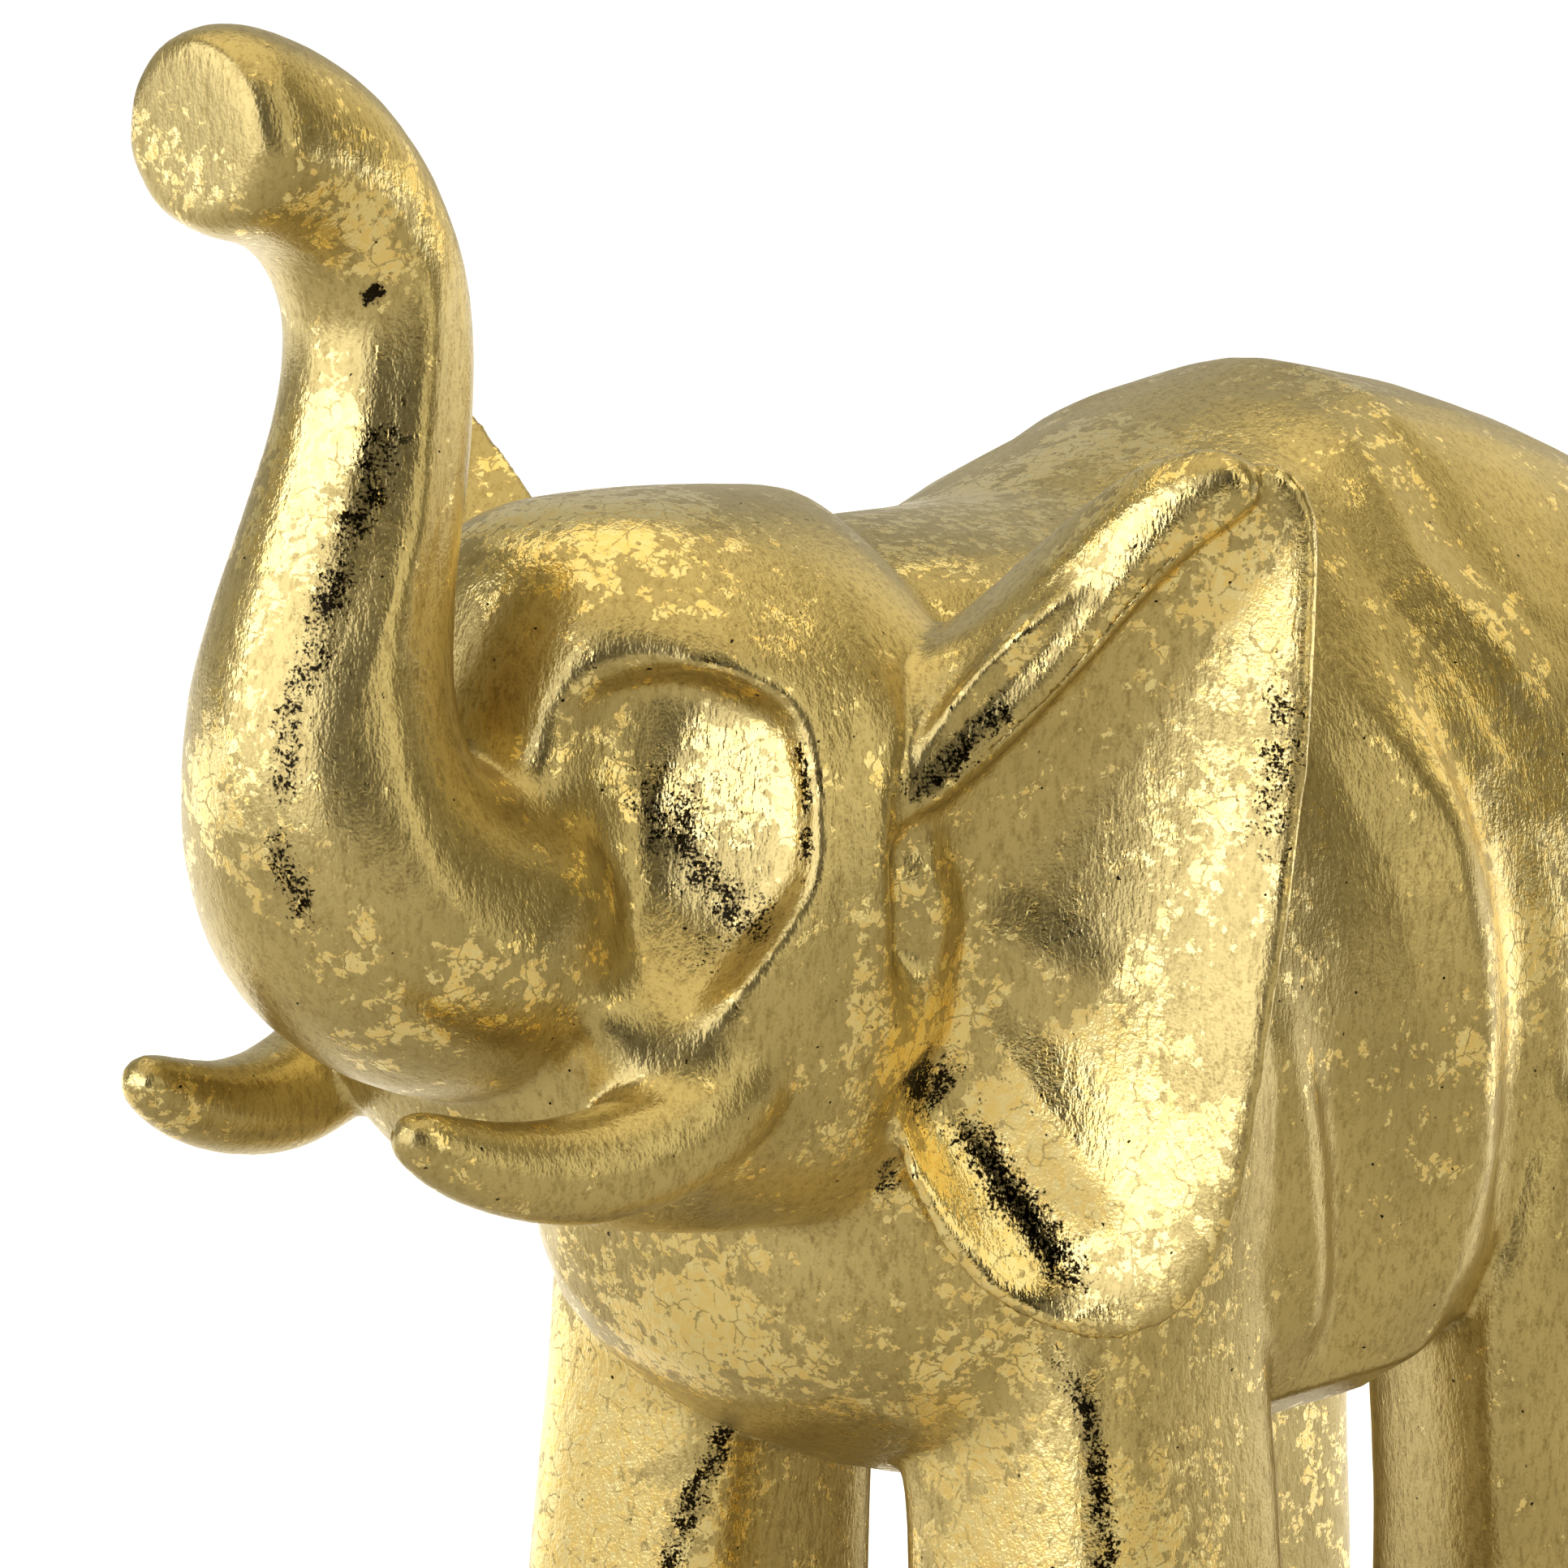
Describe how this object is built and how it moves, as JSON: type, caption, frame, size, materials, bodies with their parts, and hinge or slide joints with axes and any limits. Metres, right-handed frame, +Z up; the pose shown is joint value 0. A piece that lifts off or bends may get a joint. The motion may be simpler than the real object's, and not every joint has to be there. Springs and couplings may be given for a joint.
{
  "type": "resin elephant figurine",
  "caption": "Gold-leafed resin elephant figurine with softly faceted body, raised trunk and spread ears, standing on flat soles.",
  "frame": {"origin": "on the ground, under the middle of the figurine's bounding box", "axes": "the elephant faces -Y, +X is its own left side, +Z up"},
  "size_m": [0.1198, 0.2408, 0.2269],
  "materials": {
    "gold_leaf": "cast resin covered with antiqued pale gold leaf, half matt, with torn flakes and dark brown showing through in places"
  },
  "bodies": {
    "root": {"elephant": "gold_leaf"}
  },
  "joints": []
}
